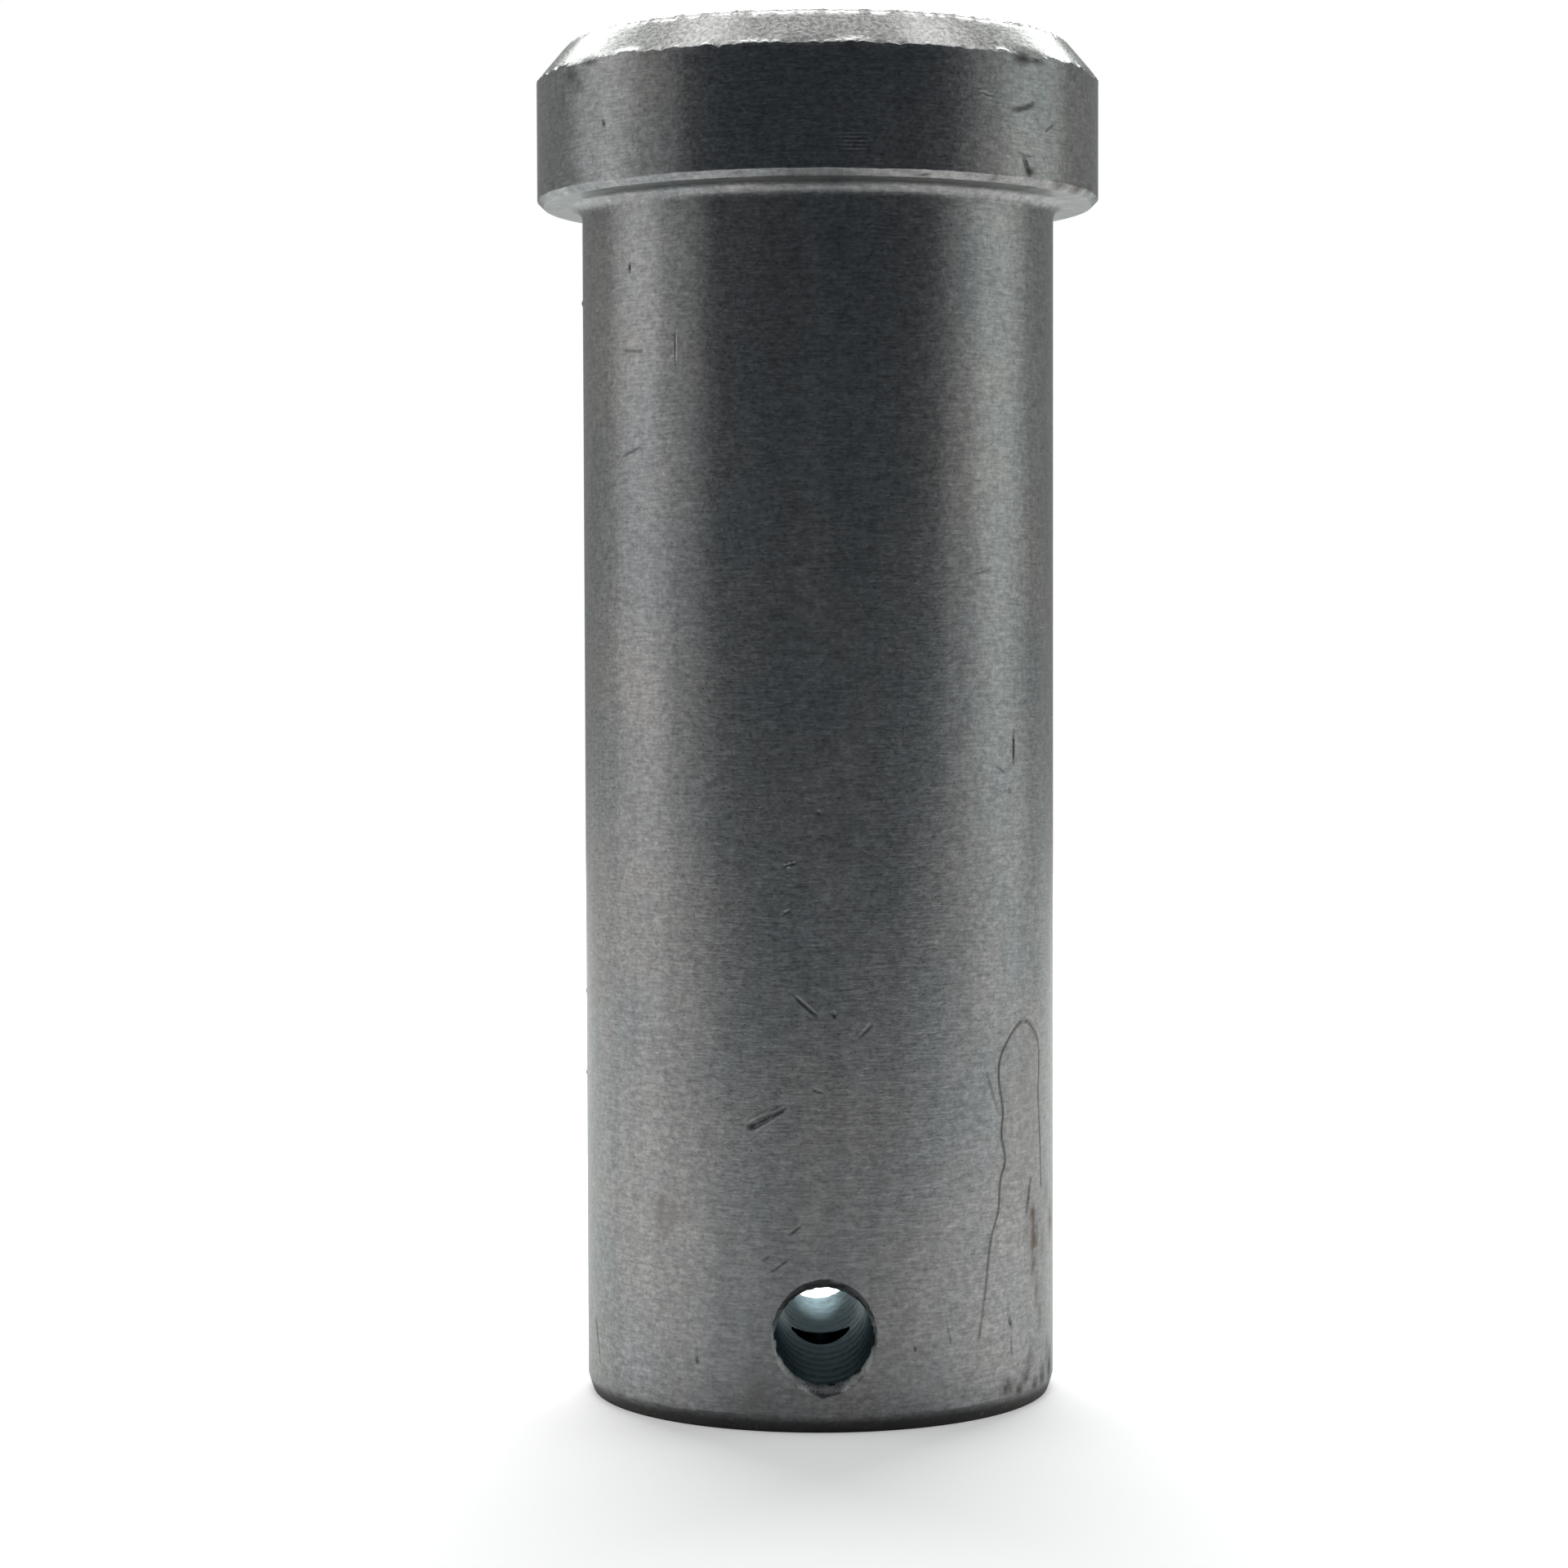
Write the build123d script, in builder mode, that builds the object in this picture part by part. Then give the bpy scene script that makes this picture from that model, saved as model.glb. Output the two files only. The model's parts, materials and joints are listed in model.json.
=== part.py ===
"""Clevis pin of steel, 1 in across and 2 1/2 in long under its head.

It is one piece: turned from round bar, centred at its plain end and drilled across for a cotter.
All sizes are in millimetres. The pin stands on its plain end with its head up: +Z runs along its
axis towards the head, the origin is the middle of the end face, and the cotter hole runs along Y.
"""
import os

from build123d import *

# Shank
shank_diameter = 25.2
shank_length = 63.5  # from the seat under the head to the end face
end_chamfer_width = 0.3  # radial
end_chamfer_height = 0.9  # along the axis

# Head
head_overhang = 2.4  # how far the head stands out beyond the shank, all round
head_height = 8.5
head_chamfer_width = 1.65  # radial
head_chamfer_height = 1.95  # along the axis
head_edge_break = 0.35  # small bevel round the lower rim of the head
neck_fillet_radius = 0.7

# Cotter hole, drilled across the shank and countersunk on both sides
cotter_hole_diameter = 5.0
cotter_end_wall = 2.45  # metal left between the hole and the end face
cotter_countersink_width = 0.5  # radial, at the crown of the shank
cotter_countersink_angle = 90

# Centre hole, left in the end face by the lathe's centre drill
centre_pilot_diameter = 3.2
centre_countersink_width = 0.9  # radial, at the end face
centre_countersink_angle = 60

# Sizes that follow from those above
shank_radius = shank_diameter / 2
end_radius = shank_radius - end_chamfer_width
head_radius = shank_radius + head_overhang
head_seat_radius = head_radius - head_edge_break
head_top_radius = head_radius - head_chamfer_width
head_rim_bottom = shank_length + head_edge_break
head_top = shank_length + head_height
head_rim_top = head_top - head_chamfer_height
cotter_hole_radius = cotter_hole_diameter / 2
cotter_hole_height = cotter_end_wall + cotter_hole_radius
centre_pilot_radius = centre_pilot_diameter / 2

neck_place = (shank_radius, shank_length)

with BuildPart() as clevis_pin:
    # Half of the lengthwise section, from the axis outwards, turned about the axis
    with BuildSketch(Plane.XZ) as half_section:
        with BuildLine():
            Polyline(
                (0, 0),
                (end_radius, 0),
                (shank_radius, end_chamfer_height),
                neck_place,
                (head_seat_radius, shank_length),
                (head_radius, head_rim_bottom),
                (head_radius, head_rim_top),
                (head_top_radius, head_top),
                (0, head_top),
                close=True,
            )
        make_face()
        neck_corner = half_section.vertices().sort_by_distance(neck_place)[0]
        fillet(neck_corner, neck_fillet_radius)
    revolve(axis=Axis.Z)

    # The hole runs right through, and each mouth opens onto the crown of the shank
    near_crown = Plane(origin=(0, -shank_radius, cotter_hole_height), z_dir=(0, -1, 0))
    far_crown = Plane(origin=(0, shank_radius, cotter_hole_height), z_dir=(0, 1, 0))
    with Locations(near_crown, far_crown):
        CounterSinkHole(
            radius=cotter_hole_radius,
            counter_sink_radius=cotter_hole_radius + cotter_countersink_width,
            counter_sink_angle=cotter_countersink_angle,
        )

    # The centre drill runs up into the cotter hole and stops at its axis
    with Locations(Plane(origin=(0, 0, 0), z_dir=(0, 0, -1))):
        CounterSinkHole(
            radius=centre_pilot_radius,
            counter_sink_radius=centre_pilot_radius + centre_countersink_width,
            counter_sink_angle=centre_countersink_angle,
            depth=cotter_hole_height,
        )

clevis_pin.part.label = "clevis_pin"

os.makedirs("parts", exist_ok=True)
export_step(clevis_pin.part, "parts/clevis_pin.step")
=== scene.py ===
"""Looks of the clevis pin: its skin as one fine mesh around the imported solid, its finish and its studio.

The skin is worked out in millimetres. A place on it is an angle round the pin's axis, in degrees from
the front (-Y) towards +X, and a run along the pin's outline, which goes from the middle of the end face
round the outside to the middle of the head's top.
"""

import json
import math

import bpy
import numpy as np
from mathutils import Matrix, Vector

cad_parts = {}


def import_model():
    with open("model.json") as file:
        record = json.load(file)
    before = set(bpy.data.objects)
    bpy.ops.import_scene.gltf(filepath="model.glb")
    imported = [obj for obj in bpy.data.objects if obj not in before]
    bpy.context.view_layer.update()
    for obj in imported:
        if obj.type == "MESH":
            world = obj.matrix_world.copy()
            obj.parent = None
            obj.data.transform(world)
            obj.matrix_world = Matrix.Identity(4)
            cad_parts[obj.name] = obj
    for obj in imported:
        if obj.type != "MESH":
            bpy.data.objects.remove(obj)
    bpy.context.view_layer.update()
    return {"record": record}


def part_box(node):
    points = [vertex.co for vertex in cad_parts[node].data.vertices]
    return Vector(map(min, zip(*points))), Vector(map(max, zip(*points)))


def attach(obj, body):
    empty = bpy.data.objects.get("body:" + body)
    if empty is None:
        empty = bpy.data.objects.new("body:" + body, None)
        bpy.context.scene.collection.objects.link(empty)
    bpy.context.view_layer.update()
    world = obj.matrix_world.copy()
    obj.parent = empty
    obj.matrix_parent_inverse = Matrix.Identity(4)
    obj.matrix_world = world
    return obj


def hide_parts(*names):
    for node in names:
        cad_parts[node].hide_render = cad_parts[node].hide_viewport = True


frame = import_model()

MM = 0.001
random = np.random.default_rng(7)

# ---------------------------------------------------------------- sizes in millimetres, from the frame
mounts = {mount["name"]: mount for mount in frame["record"]["mounts"]}
box_low, box_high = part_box("clevis_pin")

SHANK_R = mounts["shank"]["dims"]["r_mm"]
SEAT_Z = mounts["head_seat"]["pos_m"][2] / MM
COTTER_Z = mounts["cotter_hole"]["pos_m"][2] / MM
COTTER_R = mounts["cotter_hole"]["dims"]["r_mm"]
COTTER_HALF_LENGTH = mounts["cotter_hole"]["dims"]["length_mm"] / 2
HEAD_R = box_high[0] / MM
TOP_Z = box_high[2] / MM

END_CHAMFER_WIDTH = 0.3
END_CHAMFER_HEIGHT = 0.9
EDGE_BREAK = 0.35
NECK_FILLET = 0.7
HEAD_CHAMFER_WIDTH = 1.65
HEAD_CHAMFER_HEIGHT = 1.95
CENTRE_PILOT_R = 1.6
CENTRE_MOUTH_R = 2.5
CENTRE_CONE_HEIGHT = (CENTRE_MOUTH_R - CENTRE_PILOT_R) / math.tan(math.radians(30))

RIM_Z = TOP_Z - HEAD_CHAMFER_HEIGHT  # upper edge of the head's round side
LIP_Z = SEAT_Z + EDGE_BREAK  # lower edge of the head's round side

# ---------------------------------------------------------------- rows of the skin
CAP_R = 0.35  # a small cap closes the middle of each end disc
FEED = 0.2  # feed of the turning tool on the head's side
RINGS = round((RIM_Z - LIP_Z) / FEED)
ROWS_PER_RING = 2
SUPPORT = 0.06  # width of the narrow rows beside each rounded corner

# Corners of the outline: radius, height, rounding, rows on the run up to it, rows round it
CORNERS = [
    (CAP_R, 0.0, 0.0, 0, 0),
    (SHANK_R - END_CHAMFER_WIDTH, 0.0, 0.15, 8, 3),
    (SHANK_R, END_CHAMFER_HEIGHT, 0.5, 5, 3),
    (SHANK_R, SEAT_Z, NECK_FILLET, 96, 8),
    (HEAD_R - EDGE_BREAK, SEAT_Z, 0.12, 4, 3),
    (HEAD_R, LIP_Z, 0.1, 3, 3),
    (HEAD_R, RIM_Z, 0.05, RINGS * ROWS_PER_RING, 2),
    (HEAD_R - HEAD_CHAMFER_WIDTH, TOP_Z, 0.1, 10, 2),
    (CAP_R, TOP_Z, 0.0, 12, 0),
]


class Outline:
    """Half of the pin's lengthwise section, as straight runs and arcs, read by the length along it."""

    STEP = 0.02

    def __init__(self, corners):
        self.places = []
        self.rows = []
        self.length = 0.0
        points = [Vector(corner[:2]) for corner in corners]
        here = points[0]
        for before, corner, after, (_, _, rounding, run_rows, arc_rows) in zip(
            points, points[1:-1], points[2:], corners[1:-1]
        ):
            back = (before - corner).normalized()
            ahead = (after - corner).normalized()
            half_angle = back.angle(ahead) / 2
            tangent = rounding / math.tan(half_angle)
            centre = corner + (back + ahead).normalized() * rounding / math.sin(half_angle)
            self._run(here, corner + back * tangent, run_rows)
            self._arc(centre, corner + back * tangent, corner + ahead * tangent, arc_rows)
            here = corner + ahead * tangent
        self._run(here, points[-1], corners[-1][3])
        self.rows.append(self.length)
        self.s, self.r, self.z, self.normal_r, self.normal_z = np.array(self.places).T

    def _run(self, start, end, rows):
        along = (end - start).normalized()
        length = (end - start).length
        steps = math.ceil(length / self.STEP)
        for step in range(steps + 1):
            point = start.lerp(end, step / steps)
            self.places.append((self.length + length * step / steps, *point, along.y, -along.x))
        self.rows += [self.length + length * row / rows for row in range(rows)]
        if length / rows > 3 * SUPPORT:
            self.rows += [self.length + SUPPORT, self.length + length - SUPPORT]
        self.length += length

    def _arc(self, centre, start, end, rows):
        radius = (start - centre).length
        first = math.atan2(start.y - centre.y, start.x - centre.x)
        last = math.atan2(end.y - centre.y, end.x - centre.x)
        turn = (last - first + math.pi) % (2 * math.pi) - math.pi
        outward = 1 if turn > 0 else -1
        for step in range(1, 4 * rows):
            angle = first + turn * step / (4 * rows)
            arm = Vector((math.cos(angle), math.sin(angle)))
            run = radius * abs(turn) * step / (4 * rows)
            self.places.append((self.length + run, *(centre + radius * arm), *(outward * arm)))
        self.rows += [self.length + radius * abs(turn) * row / rows for row in range(rows)]
        self.length += radius * abs(turn)

    def at_height(self, z):
        """The run to a height on the shank's side, the head's side or a chamfer."""
        return float(np.interp(z, self.z, self.s))

    def read(self, s):
        """Radius, height and outward normal at each run in an array."""
        return [np.interp(s, self.s, values) for values in (self.r, self.z, self.normal_r, self.normal_z)]


outline = Outline(CORNERS)
ROW_EDGES = np.array(sorted(outline.rows))
RIM_S = outline.at_height(RIM_Z)
LIP_S = outline.at_height(LIP_Z)
TOP_EDGE_S = outline.at_height(TOP_Z - 0.05)

# ---------------------------------------------------------------- marks on the skin
# Scratches and gouges: each end as (angle, height), half width, depth, raised lip
SCRATCHES = [
    # the gouge low on the front, struck upwards to the right
    ((-17.6, 15.7), (-12.5, 16.3), 0.15, 0.11, 0.05),
    ((-14.5, 16.0), (-8.9, 16.7), 0.09, 0.07, 0.06),
    # short cuts down the front
    ((-7.1, 22.5), (-1.4, 21.4), 0.07, 0.06, 0.03),
    ((-9.5, 29.0), (-6.2, 29.2), 0.06, 0.05, 0.05),
    ((-9.3, 26.6), (-7.6, 26.8), 0.05, 0.04, 0.02),
    ((-2.8, 17.7), (-0.2, 17.5), 0.05, 0.04, 0.02),
    ((-8.4, 10.2), (-5.0, 10.8), 0.05, 0.04, 0.03),
    ((-12.5, 8.3), (-8.4, 9.0), 0.05, 0.04, 0.03),
    ((-14.4, 8.9), (-12.6, 9.2), 0.05, 0.03, 0.02),
    ((8.2, 20.3), (11.3, 21.0), 0.08, 0.03, 0.01),
    ((2.0, 21.6), (2.6, 21.4), 0.09, 0.06, 0.02),
    ((-1.3, 31.8), (-0.9, 31.7), 0.07, 0.05, 0.01),
    # left side
    ((-53.0, 55.4), (-46.8, 55.3), 0.11, 0.05, 0.03),
    ((-51.2, 59.9), (-51.2, 59.4), 0.07, 0.05, 0.02),
    ((-36.1, 56.4), (-36.1, 54.4), 0.04, 0.03, 0.01),
    ((-54.2, 50.0), (-47.8, 50.4), 0.08, 0.05, 0.03),
    ((-72.5, 4.4), (-69.2, 2.2), 0.09, 0.06, 0.02),
    ((-31.2, 3.6), (-31.0, 3.4), 0.09, 0.05, 0.01),
    # right side
    ((38.3, 43.8), (43.7, 44.1), 0.06, 0.03, 0.06),
    ((52.3, 35.7), (52.3, 34.0), 0.07, 0.07, 0.03),
    ((45.9, 33.9), (48.7, 33.6), 0.07, 0.05, 0.05),
    ((50.6, 32.8), (50.9, 32.5), 0.08, 0.04, 0.02),
    ((60.5, 12.1), (58.3, 10.4), 0.12, 0.07, 0.03),
    ((50.7, 5.0), (51.1, 4.7), 0.12, 0.08, 0.02),
    ((51.2, 4.1), (51.5, 3.0), 0.05, 0.04, 0.01),
    ((21.4, 4.3), (21.7, 4.1), 0.06, 0.05, 0.01),
    ((29.8, 5.5), (31.1, 4.3), 0.05, 0.03, 0.01),
    # side of the head
    ((31.9, 67.95), (35.0, 67.75), 0.07, 0.03, 0.08),
    ((40.5, 67.2), (46.0, 67.6), 0.14, 0.07, 0.03),
    ((50.2, 66.35), (52.8, 66.75), 0.07, 0.05, 0.02),
    ((43.2, 64.9), (45.0, 64.0), 0.13, 0.06, 0.02),
    ((41.5, 65.1), (46.0, 64.95), 0.07, 0.04, 0.02),
    ((6.1, 65.35), (6.2, 65.0), 0.05, 0.03, 0.03),
    ((-47.5, 66.9), (-47.2, 66.6), 0.08, 0.05, 0.02),
    # the back, which the photo doesn't show
    ((151.0, 41.0), (157.0, 42.2), 0.08, 0.05, 0.03),
    ((-160.0, 22.0), (-154.0, 20.8), 0.10, 0.06, 0.03),
    ((118.0, 31.5), (118.6, 30.2), 0.07, 0.05, 0.02),
    ((-118.0, 52.0), (-113.5, 52.6), 0.08, 0.05, 0.03),
    ((171.0, 66.0), (174.5, 66.5), 0.08, 0.05, 0.02),
]
SCRATCH_FINENESS = 3  # how often a cell is halved beside a scratch
RING_DEPTH = 0.014  # depth of the turning marks on the head's side

# Burrs that stand up from the shank where it was knocked: (angle, height), half width, how far they stand out
BURRS = [
    ((-85.5, 58.4), 0.13, 0.07),
    ((-85.0, 21.6), 0.10, 0.05),
    ((-85.2, 17.2), 0.12, 0.06),
    ((-61.0, 69.9), 0.10, 0.04),
]

# Dents that take the corner off the head's upper edge: angle, half width in degrees, depth
RIM_DENTS = [
    (43.2, 3.2, 0.17),
    (71.5, 6.5, 0.15),
    (-42.6, 1.0, -0.08),
    (-20.0, 0.45, 0.16),
    (-58.5, 4.5, 0.07),
    (51.0, 1.6, 0.07),
    (14.0, 5.5, 0.05),
    (128.0, 5.0, 0.14),
    (-141.0, 3.0, 0.10),
]

# The tide line that a drop of rusty water left on the right of the shank, as (angle, height) points
TIDE_LINE = [
    (39.5, 4.2), (41.5, 6.5), (43.5, 9.3), (46.2, 10.8), (47.0, 12.4), (48.8, 13.4), (47.4, 14.8),
    (48.0, 16.0), (46.7, 17.3), (46.6, 18.5), (49.0, 19.4), (53.0, 20.2), (57.0, 20.55), (61.0, 20.1),
    (64.8, 19.3), (65.6, 18.0), (65.0, 16.4), (66.3, 14.0), (67.0, 11.5),
]
SECOND_TIDE_LINE = [(42.4, 18.0), (43.8, 17.2), (45.9, 16.1)]


class Ripple:
    """A smooth random value from -1 to 1 round the pin, the same at -180 and 180 degrees."""

    def __init__(self, knots):
        self.knots = random.uniform(-1, 1, knots)

    def __call__(self, angle):
        place = angle % 360 / 360 * len(self.knots)
        low = np.floor(place).astype(int) % len(self.knots)
        high = (low + 1) % len(self.knots)
        blend = place % 1
        blend = blend * blend * (3 - 2 * blend)
        return self.knots[low] * (1 - blend) + self.knots[high] * blend


def bell(distance):
    return np.exp(-distance * distance)


def smooth_step(low, high, value):
    share = np.clip((value - low) / (high - low), 0, 1)
    return share * share * (3 - 2 * share)


def angle_between(angle, other):
    return (angle - other + 180) % 360 - 180


def wander(curve, angle, amounts):
    return sum(amount * ripple(angle) for ripple, amount in zip(curve, amounts))


rim_curve = [Ripple(46), Ripple(210), Ripple(620)]
top_curve = [Ripple(60), Ripple(260), Ripple(700)]
lip_curve = [Ripple(40), Ripple(300)]
end_curve = [Ripple(50), Ripple(260)]
wear_curve = [Ripple(14), Ripple(34)]


def rim_shift(angle):
    """How far the head's upper edge lies above its true height, for its burrs and knocks."""
    shift = wander(rim_curve, angle, (0.06, 0.06, 0.04))
    for place, half_width, depth in RIM_DENTS:
        shift = shift - depth * bell(angle_between(angle, place) / half_width)
    return shift


def top_shift(angle):
    """How far the edge of the head's top stands above or below it. It is roughest on the right."""
    rough = 0.35 + 0.65 * bell(angle_between(angle, 48) / 24) + 0.3 * bell(angle_between(angle, -32) / 20)
    return rough * wander(top_curve, angle, (0.03, 0.08, 0.06)) - 0.05


def ring_depth(angle):
    """The turning marks on the head's side are crisp at the front and worn off to the sides."""
    facing = 1 - 0.75 * smooth_step(50, 64, np.abs(angle_between(angle, 2)))
    return RING_DEPTH * facing * (0.85 + 0.15 * wander(wear_curve, angle, (0.6, 0.4)))


def segment_coordinates(angle, s, start, end):
    """Where each place lies along a short line on the skin, as a share of it, and across it in mm."""
    radius = float(outline.read(start[1])[0])
    per_degree = radius * math.pi / 180
    along = np.array([(end[0] - start[0]) * per_degree, end[1] - start[1]])
    length = float(np.hypot(*along))
    along = along / length if length > 0.01 else np.array([1.0, 0.0])
    length = max(length, 0.01)
    u = angle_between(angle, start[0]) * per_degree
    v = s - start[1]
    return (u * along[0] + v * along[1]) / length, v * along[0] - u * along[1], length


def on_skin(place):
    return place[0], outline.at_height(place[1])


def scratch_field(angle, s):
    """How far the scratches and burrs lift the skin, or cut into it, at each place."""
    height = np.zeros_like(angle)
    for start, end, half_width, depth, lip in SCRATCHES:
        share, across, length = segment_coordinates(angle, s, on_skin(start), on_skin(end))
        margin = half_width / length
        near = (share > -margin) & (share < 1 + margin) & (np.abs(across) < 4 * half_width)
        taper = smooth_step(-margin, 0.3, share[near]) * smooth_step(-margin, 0.3, 1 - share[near])
        x = across[near] / half_width
        height[near] += taper * (0.5 * lip * bell(1.6 * (np.abs(x) - 1.5)) - depth * bell(x))
    for place, half_width, stand in BURRS:
        angle_0, s_0 = on_skin(place)
        u = angle_between(angle, angle_0) * SHANK_R * math.pi / 180
        height += stand * bell(np.hypot(u, s - s_0) / half_width)
    return height


def skin(angle, s):
    """The skin's points in metres, at arrays of angles and runs."""
    r, z, normal_r, normal_z = outline.read(s)
    stand = scratch_field(angle, s)

    on_side = smooth_step(LIP_S + 0.05, LIP_S + 0.15, s) * (1 - smooth_step(RIM_S - 0.15, RIM_S - 0.05, s))
    phase = (s - LIP_S) / (RIM_S - LIP_S) * RINGS % 1
    stand -= on_side * ring_depth(angle) * (1 - np.abs(2 * phase - 1))

    rim = rim_shift(angle) * bell((s - RIM_S) / 0.28)
    top = top_shift(angle) * bell((s - TOP_EDGE_S) / 0.22)
    lip = 0.03 * wander(lip_curve, angle, (0.6, 0.5)) * bell((s - LIP_S) / 0.2)
    end = 0.05 * wander(end_curve, angle, (0.7, 0.4)) * bell((s - END_EDGE_S) / 0.3)

    r = r + stand * normal_r
    z = np.clip(z + stand * normal_z + rim + top + lip + end, 0, TOP_Z)
    turn = np.radians(angle)
    return np.stack([r * np.sin(turn), -r * np.cos(turn), z], axis=-1) * MM


END_EDGE_S = outline.at_height(END_CHAMFER_HEIGHT)

# ---------------------------------------------------------------- the skin's cells
COLUMNS = 180
HALVINGS = 4
FINE = 2**HALVINGS


def smooth_path(points, steps=6):
    """A Catmull-Rom curve through the points, as a list of short segments."""
    path = []
    padded = [points[0], *points, points[-1]]
    for a, b, c, d in zip(padded, padded[1:], padded[2:], padded[3:]):
        a, b, c, d = (np.array(point, float) for point in (a, b, c, d))
        for step in range(steps):
            t = step / steps
            path.append(0.5 * (2 * b + (c - a) * t + (2 * a - 5 * b + 4 * c - d) * t**2
                               + (3 * b - a - 3 * c + d) * t**3))
    path.append(np.array(points[-1], float))
    return list(zip(path, path[1:]))


def fine_places():
    """Lines on the skin that need small cells: both ends, reach in mm and how often a cell is halved."""
    places = [(on_skin(a), on_skin(b), 3 * width, SCRATCH_FINENESS) for a, b, width, _, _ in SCRATCHES]
    places += [(on_skin(place), on_skin(place), 2.5 * width, 3) for place, width, _ in BURRS]
    for line in (TIDE_LINE, SECOND_TIDE_LINE):
        places += [(on_skin(a), on_skin(b), 0.22, 2) for a, b in smooth_path(line, 3)]
    return places


def cells():
    """Cells of the skin as columns of (left, bottom, size) on a lattice FINE steps to a whole cell."""
    rows = len(ROW_EDGES) - 1
    left, bottom = (grid.ravel() * FINE for grid in np.meshgrid(range(COLUMNS), range(rows), indexing="ij"))
    size = np.full_like(left, FINE)
    done = []
    places = fine_places()
    for level in range(HALVINGS):
        half = size // 2
        angle, s = lattice_place(left + half, bottom + half)
        _, s_low = lattice_place(left, bottom)
        _, s_high = lattice_place(left, bottom + size)
        radius = outline.read(s)[0]
        reach = 0.5 * np.hypot(s_high - s_low, size * radius * 2 * math.pi / (COLUMNS * FINE))
        split = np.zeros(len(left), bool)
        for start, end, near, fineness in places:
            if fineness <= level:
                continue
            share, across, length = segment_coordinates(angle, s, start, end)
            past = np.maximum(np.maximum(-share, share - 1), 0) * length
            split |= np.hypot(past, across) < near + reach
        for edge_s, near, fineness in ((RIM_S, 0.05, 2), (TOP_EDGE_S, 0.05, 2), (END_EDGE_S, 0.1, 1)):
            if fineness > level:
                split |= (s_high > edge_s - near) & (s_low < edge_s + near)
        if level < 2:
            split |= np.hypot(front_offset(angle), s - outline.at_height(COTTER_Z)) < COTTER_R + 0.8
        done.append((left[~split], bottom[~split], size[~split]))
        left, bottom, half = left[split], bottom[split], half[split]
        left = np.concatenate([left, left + half, left, left + half])
        bottom = np.concatenate([bottom, bottom, bottom + half, bottom + half])
        size = np.tile(half, 4)
    done.append((left, bottom, size))
    return [np.concatenate(column) for column in zip(*done)]


def front_offset(angle):
    """Distance round the shank to the nearer mouth of the cotter hole, in front or behind."""
    nearest = np.minimum(np.abs(angle_between(angle, 0)), np.abs(angle_between(angle, 180)))
    return nearest * SHANK_R * math.pi / 180


def lattice_place(column, row):
    angle = np.asarray(column) * 360 / (COLUMNS * FINE)
    s = np.interp(np.asarray(row) / FINE, np.arange(len(ROW_EDGES)), ROW_EDGES)
    return angle, s


def skin_mesh(name):
    """The closed skin. A cell that meets smaller ones is a fan of triangles round its middle."""
    left, bottom, size = cells()
    around = COLUMNS * FINE
    up = (len(ROW_EDGES) - 1) * FINE + 1
    index = np.full((around, up), -1, np.int32)
    corners = [(0, 0), (1, 0), (1, 1), (0, 1)]
    for dx, dy in corners:
        index[(left + dx * size) % around, bottom + dy * size] = 0
    columns, rows = np.nonzero(index == 0)
    index[columns, rows] = np.arange(len(columns))
    points = skin(*lattice_place(columns, rows))

    faces = []
    fan_points = []
    for step in sorted(set(size)):
        mine = size == step
        x, y = left[mine], bottom[mine]
        ring = []
        for (ax, ay), (bx, by) in zip(corners, corners[1:] + corners[:1]):
            for k in range(step):
                ring.append(((x + ax * step + (bx - ax) * k) % around, y + ay * step + (by - ay) * k))
        ring = np.stack([index[px, py] for px, py in ring], axis=1)
        plain = (ring >= 0).sum(axis=1) == 4
        faces += ring[plain][:, ::step].tolist()
        for ring_here, px, py in zip(ring[~plain], x[~plain], y[~plain]):
            centre = len(points) + len(fan_points)
            fan_points.append((px + step / 2, py + step / 2))
            found = ring_here[ring_here >= 0].tolist()
            faces += [(a, b, centre) for a, b in zip(found, found[1:] + found[:1])]
    points = np.concatenate([points, skin(*lattice_place(*np.array(fan_points).T))])
    faces.append(index[:, 0][index[:, 0] >= 0][::-1].tolist())
    faces.append(index[:, -1][index[:, -1] >= 0].tolist())

    mesh = bpy.data.meshes.new(name)
    mesh.from_pydata(points.tolist(), [], faces)
    mesh.validate()
    return mesh

# ---------------------------------------------------------------- the drilled holes
COTTER_SEGMENTS = 72
CENTRE_SEGMENTS = 48
DRILL_STEP = 0.3  # from ring to ring of the cotter drill
DRILL_WOBBLE = 0.028  # how much its rings differ in radius
BORE_UNDERSIZE = 0.02
BORE_ROUGHNESS = 0.006
MOUTH_ROUGHNESS = 0.035
PILOT_ROUGHNESS = 0.008
OVERSHOOT = 0.5  # how far each drill starts outside the pin
SHARP_ANGLE = 38


def turned_mesh(name, profile, segments, axis):
    """A closed cutter turned from (radius, height, roughness) places about the +Y or the Z axis."""
    points = []
    for radius, height, rough in profile:
        for segment in range(segments):
            turn = 2 * math.pi * segment / segments
            r = radius + rough * random.uniform(-1, 1)
            x, y = r * math.cos(turn), r * math.sin(turn)
            points.append((x, height, COTTER_Z - y) if axis == "Y" else (x, y, height))
    faces = []
    for ring in range(len(profile) - 1):
        for segment in range(segments):
            after = (segment + 1) % segments
            a, b = ring * segments + segment, ring * segments + after
            faces.append((a, b, b + segments, a + segments))
    faces.append(tuple(range(segments))[::-1])
    faces.append(tuple(range((len(profile) - 1) * segments, len(profile) * segments)))
    mesh = bpy.data.meshes.new(name)
    mesh.from_pydata((np.array(points) * MM).tolist(), [], faces)
    mesh.validate()
    return mesh


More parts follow.
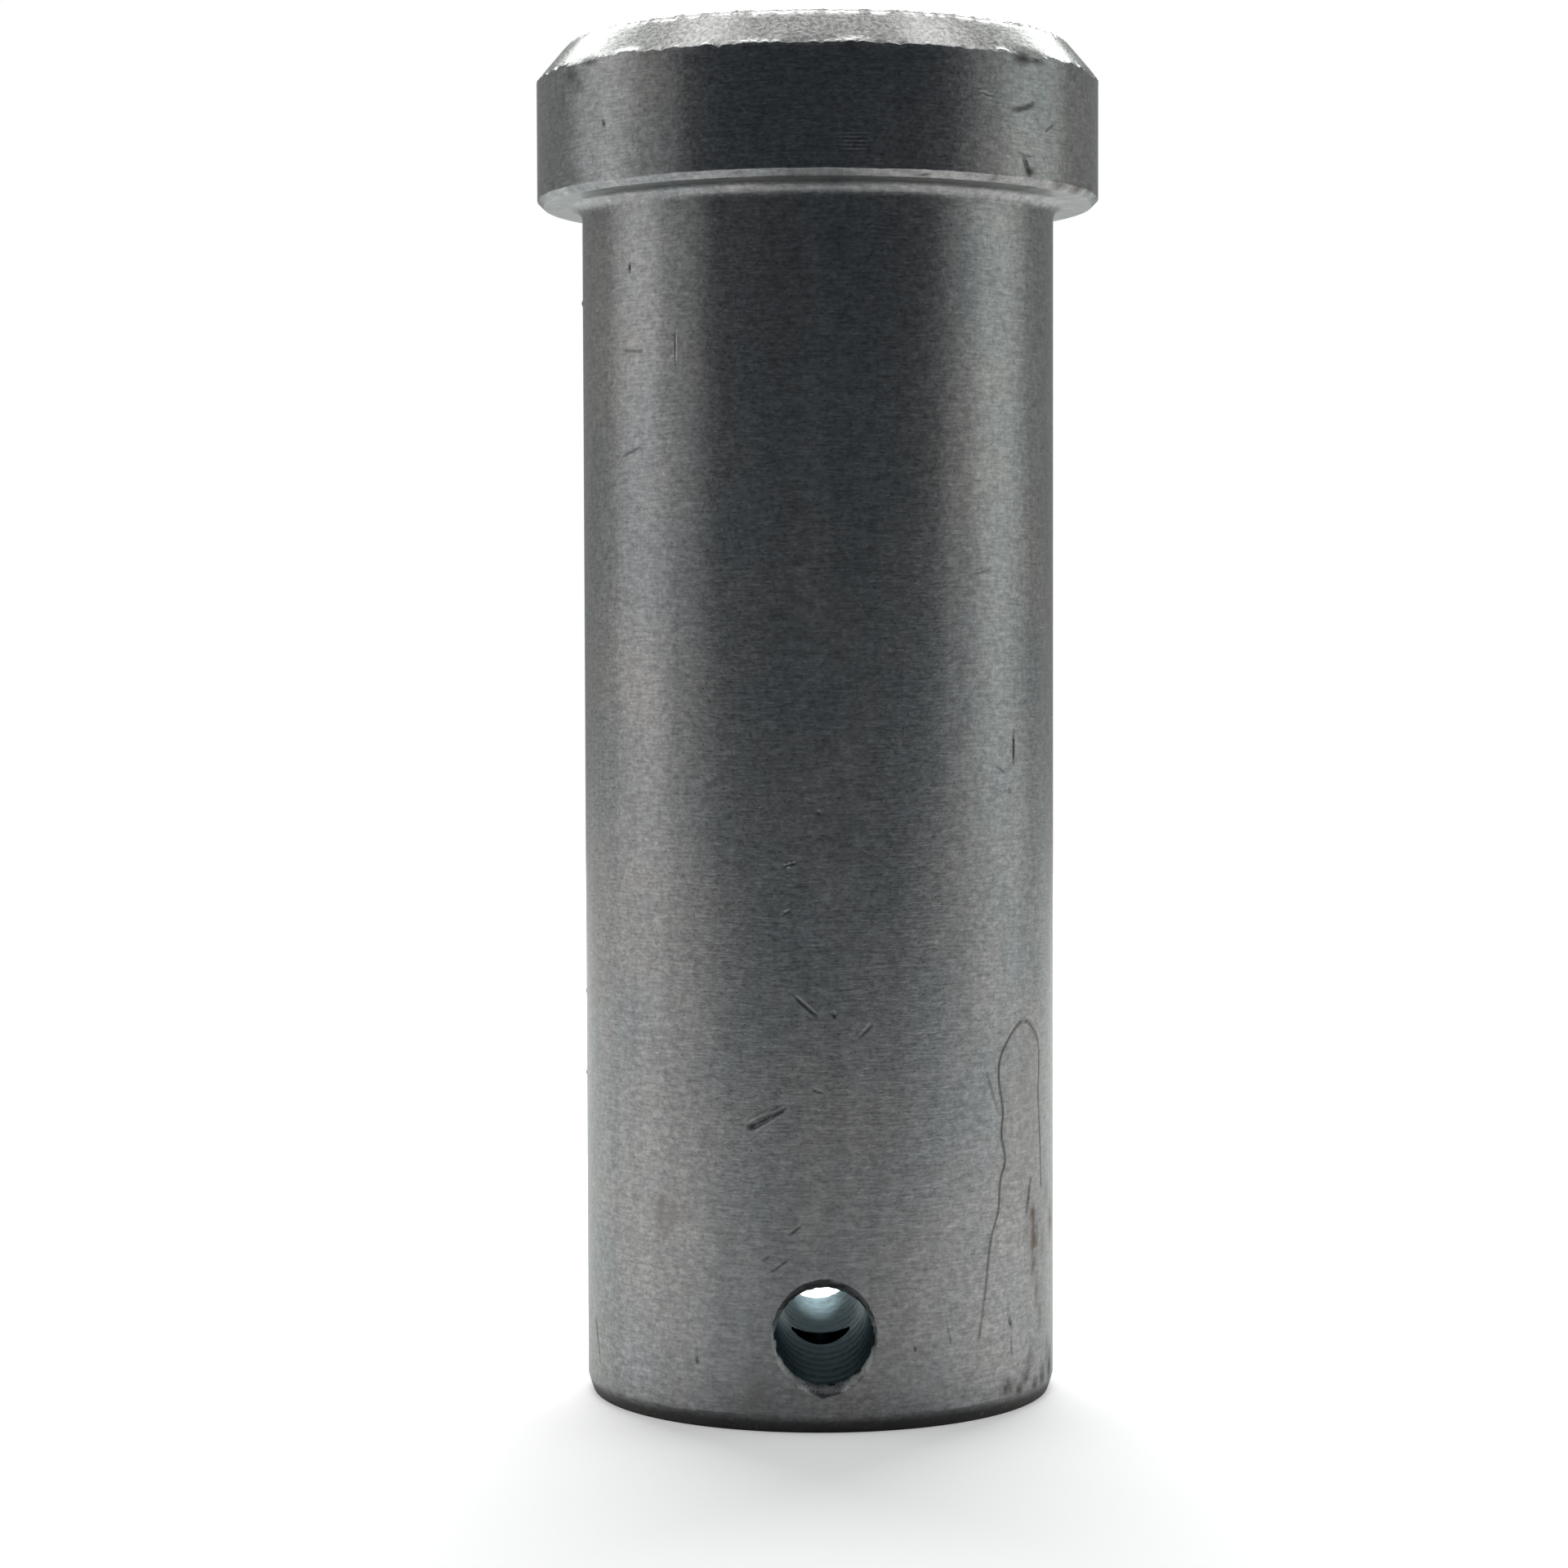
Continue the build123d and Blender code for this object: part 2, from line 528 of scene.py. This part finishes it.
def cotter_cutter():
    """The cotter drill, with the coarse rings that it left, and the ragged countersink at each mouth."""
    outside = SHANK_R + OVERSHOOT
    profile = [(COTTER_R + outside - COTTER_HALF_LENGTH, -outside, 0)]
    for place in np.linspace(-SHANK_R, -COTTER_HALF_LENGTH, 5):
        profile.append((COTTER_R - COTTER_HALF_LENGTH - place, place, MOUTH_ROUGHNESS))
    for place in np.arange(-COTTER_HALF_LENGTH + DRILL_STEP, COTTER_HALF_LENGTH, DRILL_STEP):
        wobble = DRILL_WOBBLE * math.sin(place * 3.1) * math.sin(place * 7.3 + 1)
        profile.append((COTTER_R + wobble - BORE_UNDERSIZE, place, BORE_ROUGHNESS))
    for place in np.linspace(COTTER_HALF_LENGTH, SHANK_R, 5):
        profile.append((COTTER_R - COTTER_HALF_LENGTH + place, place, MOUTH_ROUGHNESS))
    profile.append((COTTER_R + outside - COTTER_HALF_LENGTH, outside, 0))
    return turned_mesh("cotter_drill", profile, COTTER_SEGMENTS, "Y")


def centre_cutter():
    """The centre drill, up to the axis of the cotter hole."""
    mouth_slope = (CENTRE_MOUTH_R - CENTRE_PILOT_R) / CENTRE_CONE_HEIGHT
    profile = [(CENTRE_MOUTH_R + OVERSHOOT * mouth_slope, -OVERSHOOT, 0)]
    for share in np.linspace(0, 1, 8):
        radius = CENTRE_MOUTH_R + (CENTRE_PILOT_R - CENTRE_MOUTH_R) * share
        profile.append((radius, CENTRE_CONE_HEIGHT * share, BORE_ROUGHNESS))
    for height in np.linspace(CENTRE_CONE_HEIGHT, COTTER_Z, 16)[1:]:
        profile.append((CENTRE_PILOT_R, height, PILOT_ROUGHNESS))
    return turned_mesh("centre_drill", profile, CENTRE_SEGMENTS, "Z")


def drilled(name, skin, cutters):
    """The skin with the cutters taken out of it."""
    body = bpy.data.objects.new(name, skin)
    bpy.context.scene.collection.objects.link(body)
    helpers = []
    for mesh in cutters:
        cutter = bpy.data.objects.new(mesh.name, mesh)
        bpy.context.scene.collection.objects.link(cutter)
        cut = body.modifiers.new(mesh.name, "BOOLEAN")
        cut.operation = "DIFFERENCE"
        cut.solver = "EXACT"
        cut.object = cutter
        helpers.append(cutter)
    graph = bpy.context.evaluated_depsgraph_get()
    finished = bpy.data.meshes.new_from_object(body.evaluated_get(graph))
    body.modifiers.clear()
    body.data = finished
    finished.name = name
    for helper in helpers:
        bpy.data.objects.remove(helper)
    return body


# ---------------------------------------------------------------- painted marks
def height_of_blob(angle, z, place, size, squash=1.0):
    """A soft round patch: its middle as (angle, height) and its half width in mm."""
    u = angle_between(angle, place[0]) * SHANK_R * math.pi / 180
    return bell(np.hypot(u, (z - place[1]) * squash) / size)


SOIL_BLOBS = [
    # lower right rim of the shank
    ((60.1, 2.6), 0.3, 1.0, 0.95), ((75.0, 1.6), 0.5, 0.6, 0.95), ((57.5, 1.8), 0.36, 1.0, 0.9),
    ((68.0, 1.3), 0.4, 0.9, 0.9), ((49.9, 1.4), 0.42, 1.3, 0.9), ((54.7, 1.15), 0.36, 1.3, 0.9),
    ((63.0, 1.1), 0.36, 1.3, 0.85), ((72.0, 2.6), 0.22, 0.6, 0.8),
    # under the dent in the head's upper edge, and at its left corner
    ((43.0, 69.85), 0.5, 1.6, 0.9), ((47.0, 69.8), 0.35, 1.8, 0.7), ((-59.0, 69.5), 0.55, 1.2, 0.75),
    ((-55.5, 68.9), 0.3, 0.8, 0.6), ((-62.0, 68.2), 0.35, 0.6, 0.45), ((-52.0, 70.0), 0.5, 2.5, 0.6),
    ((-60.0, 66.3), 0.5, 0.7, 0.3), ((-58.0, 64.3), 0.5, 1.0, 0.45),
    # along the head's lower edge on the right
    ((35.4, 63.7), 0.15, 0.6, 0.9), ((45.0, 64.2), 0.3, 1.3, 0.7), ((56.0, 63.75), 0.45, 2.5, 0.6),
    ((64.0, 63.8), 0.5, 2.0, 0.7), ((70.5, 63.95), 0.4, 1.2, 0.7),
    # small dots
    ((48.3, 26.4), 0.12, 1.0, 0.4), ((41.9, 27.3), 0.1, 1.0, 0.35), ((21.6, 4.2), 0.08, 1.0, 0.6),
    ((-13.4, 63.1), 0.06, 1.0, 0.8), ((20.0, 63.65), 0.06, 1.0, 0.8), ((1.1, 62.9), 0.05, 1.0, 0.7),
]

FILM_BLOBS = [
    ((52.6, 25.5), 0.22, 0.45, 0.75), ((33.8, 22.7), 0.13, 0.25, 0.4), ((64.0, 22.3), 0.25, 0.35, 0.5),
    ((26.5, 13.2), 0.35, 0.8, 0.35), ((-41.9, 45.1), 0.3, 1.0, 0.4), ((-64.8, 42.4), 0.25, 1.0, 0.35),
    ((-43.4, 19.1), 0.25, 1.0, 0.35), ((36.2, 26.6), 0.12, 0.4, 0.35), ((-17.2, 3.3), 0.28, 0.55, 0.75),
    ((-16.4, 1.9), 0.5, 0.75, 0.9), ((-19.0, 1.3), 0.4, 0.9, 0.7), ((-13.5, 1.3), 0.35, 0.9, 0.6),
]

RUST_BLOBS = [
    ((61.9, 10.2), 0.36, 0.7, 0.9), ((62.6, 8.9), 0.45, 0.5, 1.0), ((62.2, 7.6), 0.32, 0.6, 0.8),
    ((64.2, 6.2), 0.2, 0.25, 0.6), ((66.0, 4.6), 0.18, 0.25, 0.5), ((76.0, 9.4), 0.45, 0.6, 0.8),
    ((71.0, 11.0), 0.35, 0.7, 0.6), ((68.5, 8.4), 0.25, 0.5, 0.6), ((58.5, 9.4), 0.2, 0.6, 0.5),
    ((44.0, 69.75), 0.25, 1.4, 0.35), ((62.0, 63.8), 0.5, 1.4, 0.35), ((60.1, 2.6), 0.2, 1.0, 0.5),
]

DRIP_PLACE = (-39.7, 10.9)
END_GRIME_AND_SHADE = 0.8  # how dark the chamfer of the plain end is painted: partly grime, partly painted shade for the shadowed floor that it mirrors


def line_strength(angle, s, line, half_width):
    """How strongly each place lies on a drawn line, from 0 to 1."""
    strength = np.zeros_like(angle)
    for start, end in smooth_path(line):
        share, across, length = segment_coordinates(angle, s, on_skin(start), on_skin(end))
        past = np.maximum(np.maximum(-share, share - 1), 0) * length
        strength = np.maximum(strength, bell(np.hypot(past, across) / half_width))
    return strength


def blobs(angle, z, places):
    strength = np.zeros_like(angle)
    for place, size, squash, amount in places:
        strength = np.maximum(strength, amount * height_of_blob(angle, z, place, size, squash))
    return strength


def paint(mesh):
    """Float attributes for the finish: bare metal, soil, rust and the film left by dried water, with painted
    shade on the end chamfer, in the scratch grooves and inside the holes, and a painted highlight on the
    lower half of each cotter-hole mouth.
    """
    points = np.empty(len(mesh.vertices) * 3)
    mesh.vertices.foreach_get("co", points)
    x, y, z = points.reshape(-1, 3).T / MM
    r = np.hypot(x, y)
    angle = np.degrees(np.arctan2(x, -y))
    s = np.interp(z, outline.z, outline.s)

    side = r > SHANK_R - 1.0
    on_shank = side & (z < SEAT_Z)
    head = z > SEAT_Z - 0.05
    bare_and_highlight = head * smooth_step(0.02, 0.1, z - RIM_Z - rim_shift(angle))
    soil_and_shade = side * blobs(angle, z, SOIL_BLOBS)
    rust = side * blobs(angle, z, RUST_BLOBS)
    film = on_shank * blobs(angle, z, FILM_BLOBS)

    inside = on_shank * smooth_step(45, 49, angle) * (1 - smooth_step(64, 67, angle))
    inside = inside * smooth_step(9.5, 12, z) * (1 - smooth_step(19.4, 20.4, z))
    film = np.maximum(film, 0.2 * inside)
    drip = height_of_blob(angle, z, DRIP_PLACE, 0.55, 0.75)
    ring = bell((np.sqrt(-np.log(np.maximum(drip, 1e-9))) - 1.0) / 0.3)
    film = np.maximum(film, on_shank * np.maximum(0.9 * ring, 0.45 * drip))

    tide = line_strength(angle, s, TIDE_LINE, 0.075) * (0.5 + 0.5 * smooth_step(4, 14, z))
    tide = np.maximum(tide, 0.6 * line_strength(angle, s, SECOND_TIDE_LINE, 0.06))
    tide = on_shank * tide

    # Scratch grooves are painted nearly black: painted shade in the grooves.
    groove_shade = np.zeros_like(angle)
    for start, end, half_width, depth, _ in SCRATCHES:
        share, across, length = segment_coordinates(angle, s, on_skin(start), on_skin(end))
        past = np.maximum(np.maximum(-share, share - 1), 0) * length
        groove_shade = np.maximum(groove_shade, min(1, 16 * depth) * bell(np.hypot(past, across) / half_width))
    groove_shade = 0.55 * side * groove_shade

    # The plain end's chamfer is darkened: partly grime, partly painted shade for the shadowed floor close
    # under the pin that it mirrors.
    grime_and_shade = smooth_step(0.25, 0.7, END_CHAMFER_HEIGHT + 0.25 - z) * side
    soil_and_shade = np.maximum(soil_and_shade, END_GRIME_AND_SHADE * grime_and_shade)
    from_bore = np.hypot(x, z - COTTER_Z)
    # Inside the cotter hole and the centre hole the plate is painted darker and bluer: painted shade in the
    # holes.
    inner = (from_bore < COTTER_R + 0.06) | (r < SHANK_R - 0.8)
    bore_shade = inner * (z > 0.02) * (z < 2 * COTTER_Z)
    # The countersink of each cotter-hole mouth is made bright bare metal only on its lower, upward-facing
    # half: a painted highlight.
    mouth = (from_bore > COTTER_R + 0.02) * (from_bore < COTTER_R + 0.62)
    mouth = mouth * (r < SHANK_R - 0.005) * (r > SHANK_R - 0.8)
    bare_and_highlight = np.maximum(bare_and_highlight, mouth * smooth_step(0.1, 0.5, (COTTER_Z - z) / np.maximum(from_bore, 0.1)))
    bore_shade = bore_shade * (1 - bare_and_highlight)

    layers = {"bare_and_highlight": bare_and_highlight, "soil_and_shade": soil_and_shade, "rust": rust, "film": film}
    layers |= {"tide": tide, "groove_shade": groove_shade, "bore_shade": bore_shade}
    for name, values in layers.items():
        attribute = mesh.attributes.new(name, "FLOAT", "POINT")
        attribute.data.foreach_set("value", np.ascontiguousarray(values, dtype=np.float32))


def pin_skin():
    pin = drilled("clevis_pin_skin", skin_mesh("skin"), [cotter_cutter(), centre_cutter()])
    mesh = pin.data
    mesh.shade_smooth()
    mesh.set_sharp_from_angle(angle=math.radians(SHARP_ANGLE))
    paint(mesh)
    return pin

# ---------------------------------------------------------------- finish
PLATE_COLOUR = (0.305, 0.318, 0.322)
PLATE_WARM = (0.318, 0.314, 0.310)
# painted shade inside the holes
BORE_SHADE_COLOUR = (0.185, 0.26, 0.29)
# bare metal, also used for the painted highlight at the cotter-hole mouths
BARE_AND_HIGHLIGHT_COLOUR = (0.52, 0.52, 0.51)
BARE_AND_HIGHLIGHT_DARK = (0.30, 0.305, 0.30)
FILM_COLOUR = (0.20, 0.185, 0.165)
TIDE_COLOUR = (0.07, 0.06, 0.048)
RUST_COLOUR = (0.13, 0.068, 0.038)
# soil, also used for the painted shade on the end chamfer
SOIL_AND_SHADE_COLOUR = (0.045, 0.04, 0.034)
# painted shade in the scratch grooves
GROOVE_SHADE_COLOUR = (0.03, 0.031, 0.032)


class Nodes:
    """A short way to write a node tree: each call adds one node and gives its output."""

    def __init__(self, tree):
        self.tree = tree

    def add(self, kind, output=0, settings=(), **inputs):
        node = self.tree.nodes.new(kind)
        for name, value in dict(settings).items():
            setattr(node, name, value)
        for name, value in inputs.items():
            self.connect(node.inputs[int(name[1:]) if name[1:].isdigit() else name.replace("_", " ")], value)
        return node.outputs[output]

    def connect(self, socket, value):
        if isinstance(value, bpy.types.NodeSocket):
            self.tree.links.new(value, socket)
        else:
            socket.default_value = value

    def math(self, operation, a, b=0.0, c=0.0):
        return self.add("ShaderNodeMath", settings={"operation": operation}, i0=a, i1=b, i2=c)

    def stretch(self, value, low, high, to_low=0.0, to_high=1.0):
        """The value brought from low..high to to_low..to_high, held at both ends."""
        return self.add("ShaderNodeMapRange", i0=value, i1=low, i2=high, i3=to_low, i4=to_high)

    def mix(self, share, a, b, blend="MIX"):
        settings = {"data_type": "RGBA", "blend_type": blend}
        return self.add("ShaderNodeMix", 2, settings, i0=share, i6=a, i7=b)

    def noise(self, place, per_mm, detail=2.0, roughness=0.5, distortion=0.0):
        """Noise with its own count of features per mm along X, Y and Z."""
        scaled = self.add("ShaderNodeVectorMath", settings={"operation": "MULTIPLY"}, i0=place,
                          i1=tuple(count / MM for count in per_mm))
        return self.add("ShaderNodeTexNoise", Vector=scaled, Scale=1.0, Detail=detail,
                        Roughness=roughness, Distortion=distortion)

    def attribute(self, name):
        return self.add("ShaderNodeAttribute", "Fac", {"attribute_name": name})


def zinc_plated_steel():
    """Dull zinc plate over turned steel, bare and bright where the head was faced after plating. Painted
    shade darkens the inside of the holes, the scratch grooves and the end chamfer, and a painted highlight
    brightens the lower half of each cotter-hole mouth.
    """
    material = bpy.data.materials.new("zinc_plated_steel")
    material.use_nodes = True
    tree = material.node_tree
    tree.nodes.clear()
    nodes = Nodes(tree)
    place = nodes.add("ShaderNodeTexCoord", "Object")
    bare_and_highlight, soil_and_shade, rust, film = (nodes.attribute(name) for name in ("bare_and_highlight", "soil_and_shade", "rust", "film"))
    tide, groove_shade, bore_shade = (nodes.attribute(name) for name in ("tide", "groove_shade", "bore_shade"))

    grain = nodes.noise(place, (4.5, 4.5, 6.0), detail=3, roughness=0.65)
    streaks = nodes.noise(place, (1.0, 1.0, 8.5), detail=3, roughness=0.65)
    mottle = nodes.noise(place, (2.2, 2.2, 2.6), detail=3, roughness=0.65)
    clouds = nodes.noise(place, (0.16, 0.16, 0.1), detail=4, roughness=0.6)
    runs = nodes.noise(place, (0.55, 0.55, 0.03), detail=2)
    spots = nodes.noise(place, (2.2, 2.2, 2.2), detail=2)

    tone = nodes.stretch(grain, 0.3, 0.7, 0.80, 1.20)
    tone = nodes.math("MULTIPLY", tone, nodes.stretch(streaks, 0.3, 0.7, 0.80, 1.20))
    tone = nodes.math("MULTIPLY", tone, nodes.stretch(mottle, 0.35, 0.65, 0.84, 1.16))
    tone = nodes.math("MULTIPLY", tone, nodes.stretch(clouds, 0.3, 0.7, 0.92, 1.08))
    tone = nodes.math("MULTIPLY", tone, nodes.stretch(runs, 0.35, 0.65, 0.94, 1.05))
    grey = nodes.add("ShaderNodeCombineColor", i0=tone, i1=tone, i2=tone)
    plate = nodes.mix(nodes.stretch(clouds, 0.4, 0.6), (*PLATE_COLOUR, 1), (*PLATE_WARM, 1))
    # painted shade inside the holes
    plate = nodes.mix(bore_shade, plate, (*BORE_SHADE_COLOUR, 1))
    plate = nodes.mix(1.0, plate, grey, "MULTIPLY")
    bright = nodes.mix(nodes.stretch(grain, 0.38, 0.62), (*BARE_AND_HIGHLIGHT_DARK, 1), (*BARE_AND_HIGHLIGHT_COLOUR, 1))
    # bare metal of the head, and the painted highlight on the lower half of each cotter-hole mouth
    colour = nodes.mix(bare_and_highlight, plate, bright)
    colour = nodes.mix(nodes.math("MULTIPLY", film, 0.8), colour, (*FILM_COLOUR, 1))
    colour = nodes.mix(tide, colour, (*TIDE_COLOUR, 1))
    broken = nodes.math("MULTIPLY", rust, nodes.stretch(mottle, 0.36, 0.5))
    colour = nodes.mix(broken, colour, (*RUST_COLOUR, 1))
    # soil, together with the painted shade on the end chamfer
    patchy = nodes.math("MULTIPLY", soil_and_shade, nodes.stretch(spots, 0.18, 0.36))
    colour = nodes.mix(patchy, colour, (*SOIL_AND_SHADE_COLOUR, 1))
    # painted shade in the scratch grooves
    colour = nodes.mix(groove_shade, colour, (*GROOVE_SHADE_COLOUR, 1))

    # dirt here also holds the painted shade of the grooves and the end chamfer
    dirt_and_shade = nodes.math("MAXIMUM", nodes.math("MAXIMUM", patchy, broken), nodes.math("MULTIPLY", tide, 0.7))
    dirt_and_shade = nodes.math("MAXIMUM", dirt_and_shade, nodes.math("MULTIPLY", groove_shade, 0.5))
    roughness = nodes.stretch(grain, 0.3, 0.7, 0.27, 0.35)
    roughness = nodes.math("MULTIPLY_ADD", bare_and_highlight, -0.04, roughness)
    roughness = nodes.math("MULTIPLY_ADD", bore_shade, 0.12, roughness)
    roughness = nodes.math("MULTIPLY_ADD", dirt_and_shade, 0.35, roughness)
    metallic = nodes.math("MULTIPLY_ADD", dirt_and_shade, -0.8, 1.0)

    relief = nodes.math("MULTIPLY_ADD", streaks, 0.7, nodes.math("MULTIPLY", grain, 0.9))
    bump = nodes.add("ShaderNodeBump", Strength=0.6, Distance=0.02 * MM, Height=relief)
    around = nodes.add("ShaderNodeTangent", settings={"direction_type": "RADIAL", "axis": "Z"})
    shader = nodes.add("ShaderNodeBsdfPrincipled", Base_Color=colour, Metallic=metallic, Roughness=roughness,
                       Normal=bump, Tangent=around, Anisotropic=0.5, Anisotropic_Rotation=0.25,
                       Specular_Tint=(0.74, 0.77, 0.75, 1))
    output = tree.nodes.new("ShaderNodeOutputMaterial")
    tree.links.new(shader, output.inputs["Surface"])
    return material


# ---------------------------------------------------------------- studio, in metres
PAPER_COLOUR = (0.9, 0.9, 0.9)
PAPER_LIFT = 0.36  # lifts the paper to white where the camera sees it, under its shadow too
PAPER_FRONT = -0.1
PAPER_BACK = 0.45
PAPER_SIDE = 0.9
ROOM_LIGHT = 0.36
CARD_MIDDLE = 0.035  # height of the middle of the ball that the cards lie on
FAR_CARD = 0.45
NEAR_CARD = 0.43

LENS = 84.3
SENSOR = 36
CAMERA_DISTANCE = 198.1
CAMERA_HEIGHT = 41.36
VIEW_TURN = math.radians(0.94)
CAMERA_PITCH = math.radians(2.52)
CAMERA_YAW = math.radians(0.548)
CAMERA_ROLL = math.radians(-0.177)


def plain_material(name, colour, strength=0.0):
    """A matt surface, or one that only glows where a strength is given."""
    material = bpy.data.materials.new(name)
    material.use_nodes = True
    shader = material.node_tree.nodes["Principled BSDF"]
    shader.inputs["Roughness"].default_value = 0.9
    shader.inputs["Specular IOR Level"].default_value = 0.0
    shader.inputs["Emission Color"].default_value = (1, 1, 1, 1)
    if strength:
        shader.inputs["Base Color"].default_value = (0, 0, 0, 1)
        shader.inputs["Emission Color"].default_value = (*colour, 1)
        shader.inputs["Emission Strength"].default_value = strength
    else:
        shader.inputs["Base Color"].default_value = (*colour, 1)
    return material


def studio_object(name, points, faces, material):
    mesh = bpy.data.meshes.new(name)
    mesh.from_pydata(points, [], faces)
    thing = bpy.data.objects.new(name, mesh)
    bpy.context.scene.collection.objects.link(thing)
    mesh.materials.append(material)
    return thing


def floor():
    """Pale paper that ends a little in front of the pin, so that the pin mirrors the dark room there."""
    front = [(-PAPER_SIDE, PAPER_FRONT, 0), (PAPER_SIDE, PAPER_FRONT, 0)]
    back = [(PAPER_SIDE, PAPER_BACK, 0), (-PAPER_SIDE, PAPER_BACK, 0)]
    paper = plain_material("floor_paper", PAPER_COLOUR)
    shader = paper.node_tree.nodes["Principled BSDF"]
    nodes = Nodes(paper.node_tree)
    seen = nodes.add("ShaderNodeLightPath", "Is Camera Ray")
    nodes.connect(shader.inputs["Emission Strength"], nodes.math("MULTIPLY", seen, PAPER_LIFT))
    return studio_object("floor", front + back, [(0, 1, 2, 3)], paper)


def card(name, azimuths, elevations, brightness, radius=FAR_CARD, steps=12):
    """A glowing or dark card: part of a ball round the pin, out of the camera's sight."""
    points = []
    for i in range(steps + 1):
        turn = math.radians(azimuths[0] + (azimuths[1] - azimuths[0]) * i / steps)
        for j in range(steps + 1):
            rise = math.radians(elevations[0] + (elevations[1] - elevations[0]) * j / steps)
            flat = radius * math.cos(rise)
            height = CARD_MIDDLE + radius * math.sin(rise)
            points.append((flat * math.sin(turn), -flat * math.cos(turn), height))
    row = steps + 1
    corners = [i * row + j for i in range(steps) for j in range(steps)]
    faces = [(k, k + row, k + row + 1, k + 1) for k in corners]
    thing = studio_object(name, points, faces, plain_material(name, brightness, 1.0))
    thing.visible_camera = False
    return thing


def world():
    """White behind the pin, and a dim even room light for everything else."""
    studio = bpy.data.worlds.new("studio")
    studio.use_nodes = True
    nodes = Nodes(studio.node_tree)
    background = studio.node_tree.nodes["Background"]
    background.inputs["Color"].default_value = (1, 1, 1, 1)
    seen = nodes.add("ShaderNodeLightPath", "Is Camera Ray")
    nodes.connect(background.inputs["Strength"], nodes.math("MAXIMUM", seen, ROOM_LIGHT))
    bpy.context.scene.world = studio


def camera():
    """A long lens a little above the pin's middle, looking slightly down."""
    data = bpy.data.cameras.new("camera")
    data.lens = LENS
    data.sensor_width = SENSOR
    thing = bpy.data.objects.new("camera", data)
    bpy.context.scene.collection.objects.link(thing)
    across = -CAMERA_DISTANCE * math.sin(VIEW_TURN)
    back = -CAMERA_DISTANCE * math.cos(VIEW_TURN)
    place = Vector((across, back, CAMERA_HEIGHT)) * MM
    aim = Matrix.Rotation(-VIEW_TURN + CAMERA_YAW, 4, "Z")
    aim = aim @ Matrix.Rotation(math.pi / 2 - CAMERA_PITCH, 4, "X")
    thing.matrix_world = Matrix.Translation(place) @ aim @ Matrix.Rotation(CAMERA_ROLL, 4, "Z")
    bpy.context.scene.camera = thing


pin = pin_skin()
pin.data.materials.append(zinc_plated_steel())
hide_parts("clevis_pin")
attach(pin, "root")

floor()
world()
camera()
card("front_high", (-58, 62), (6, 74), (0.024, 0.031, 0.042))
card("front_low", (-58, 62), (-25, 6), (0.115, 0.127, 0.136))
card("left_strip", (-114, -81), (-4, 34), (0.92, 0.91, 0.91), NEAR_CARD)
card("right_strip", (80, 113), (-4, 34), (0.82, 0.87, 0.84), NEAR_CARD)
card("top_left", (-110, -78), (57, 73), (2.5, 2.5, 2.5), NEAR_CARD)
card("top_right", (76, 108), (57, 73), (2.5, 2.5, 2.5), NEAR_CARD)
card("top_back", (142, 218), (30, 80), (5.6, 5.6, 5.6), NEAR_CARD)

scene = bpy.context.scene
scene.view_settings.view_transform = "Standard"
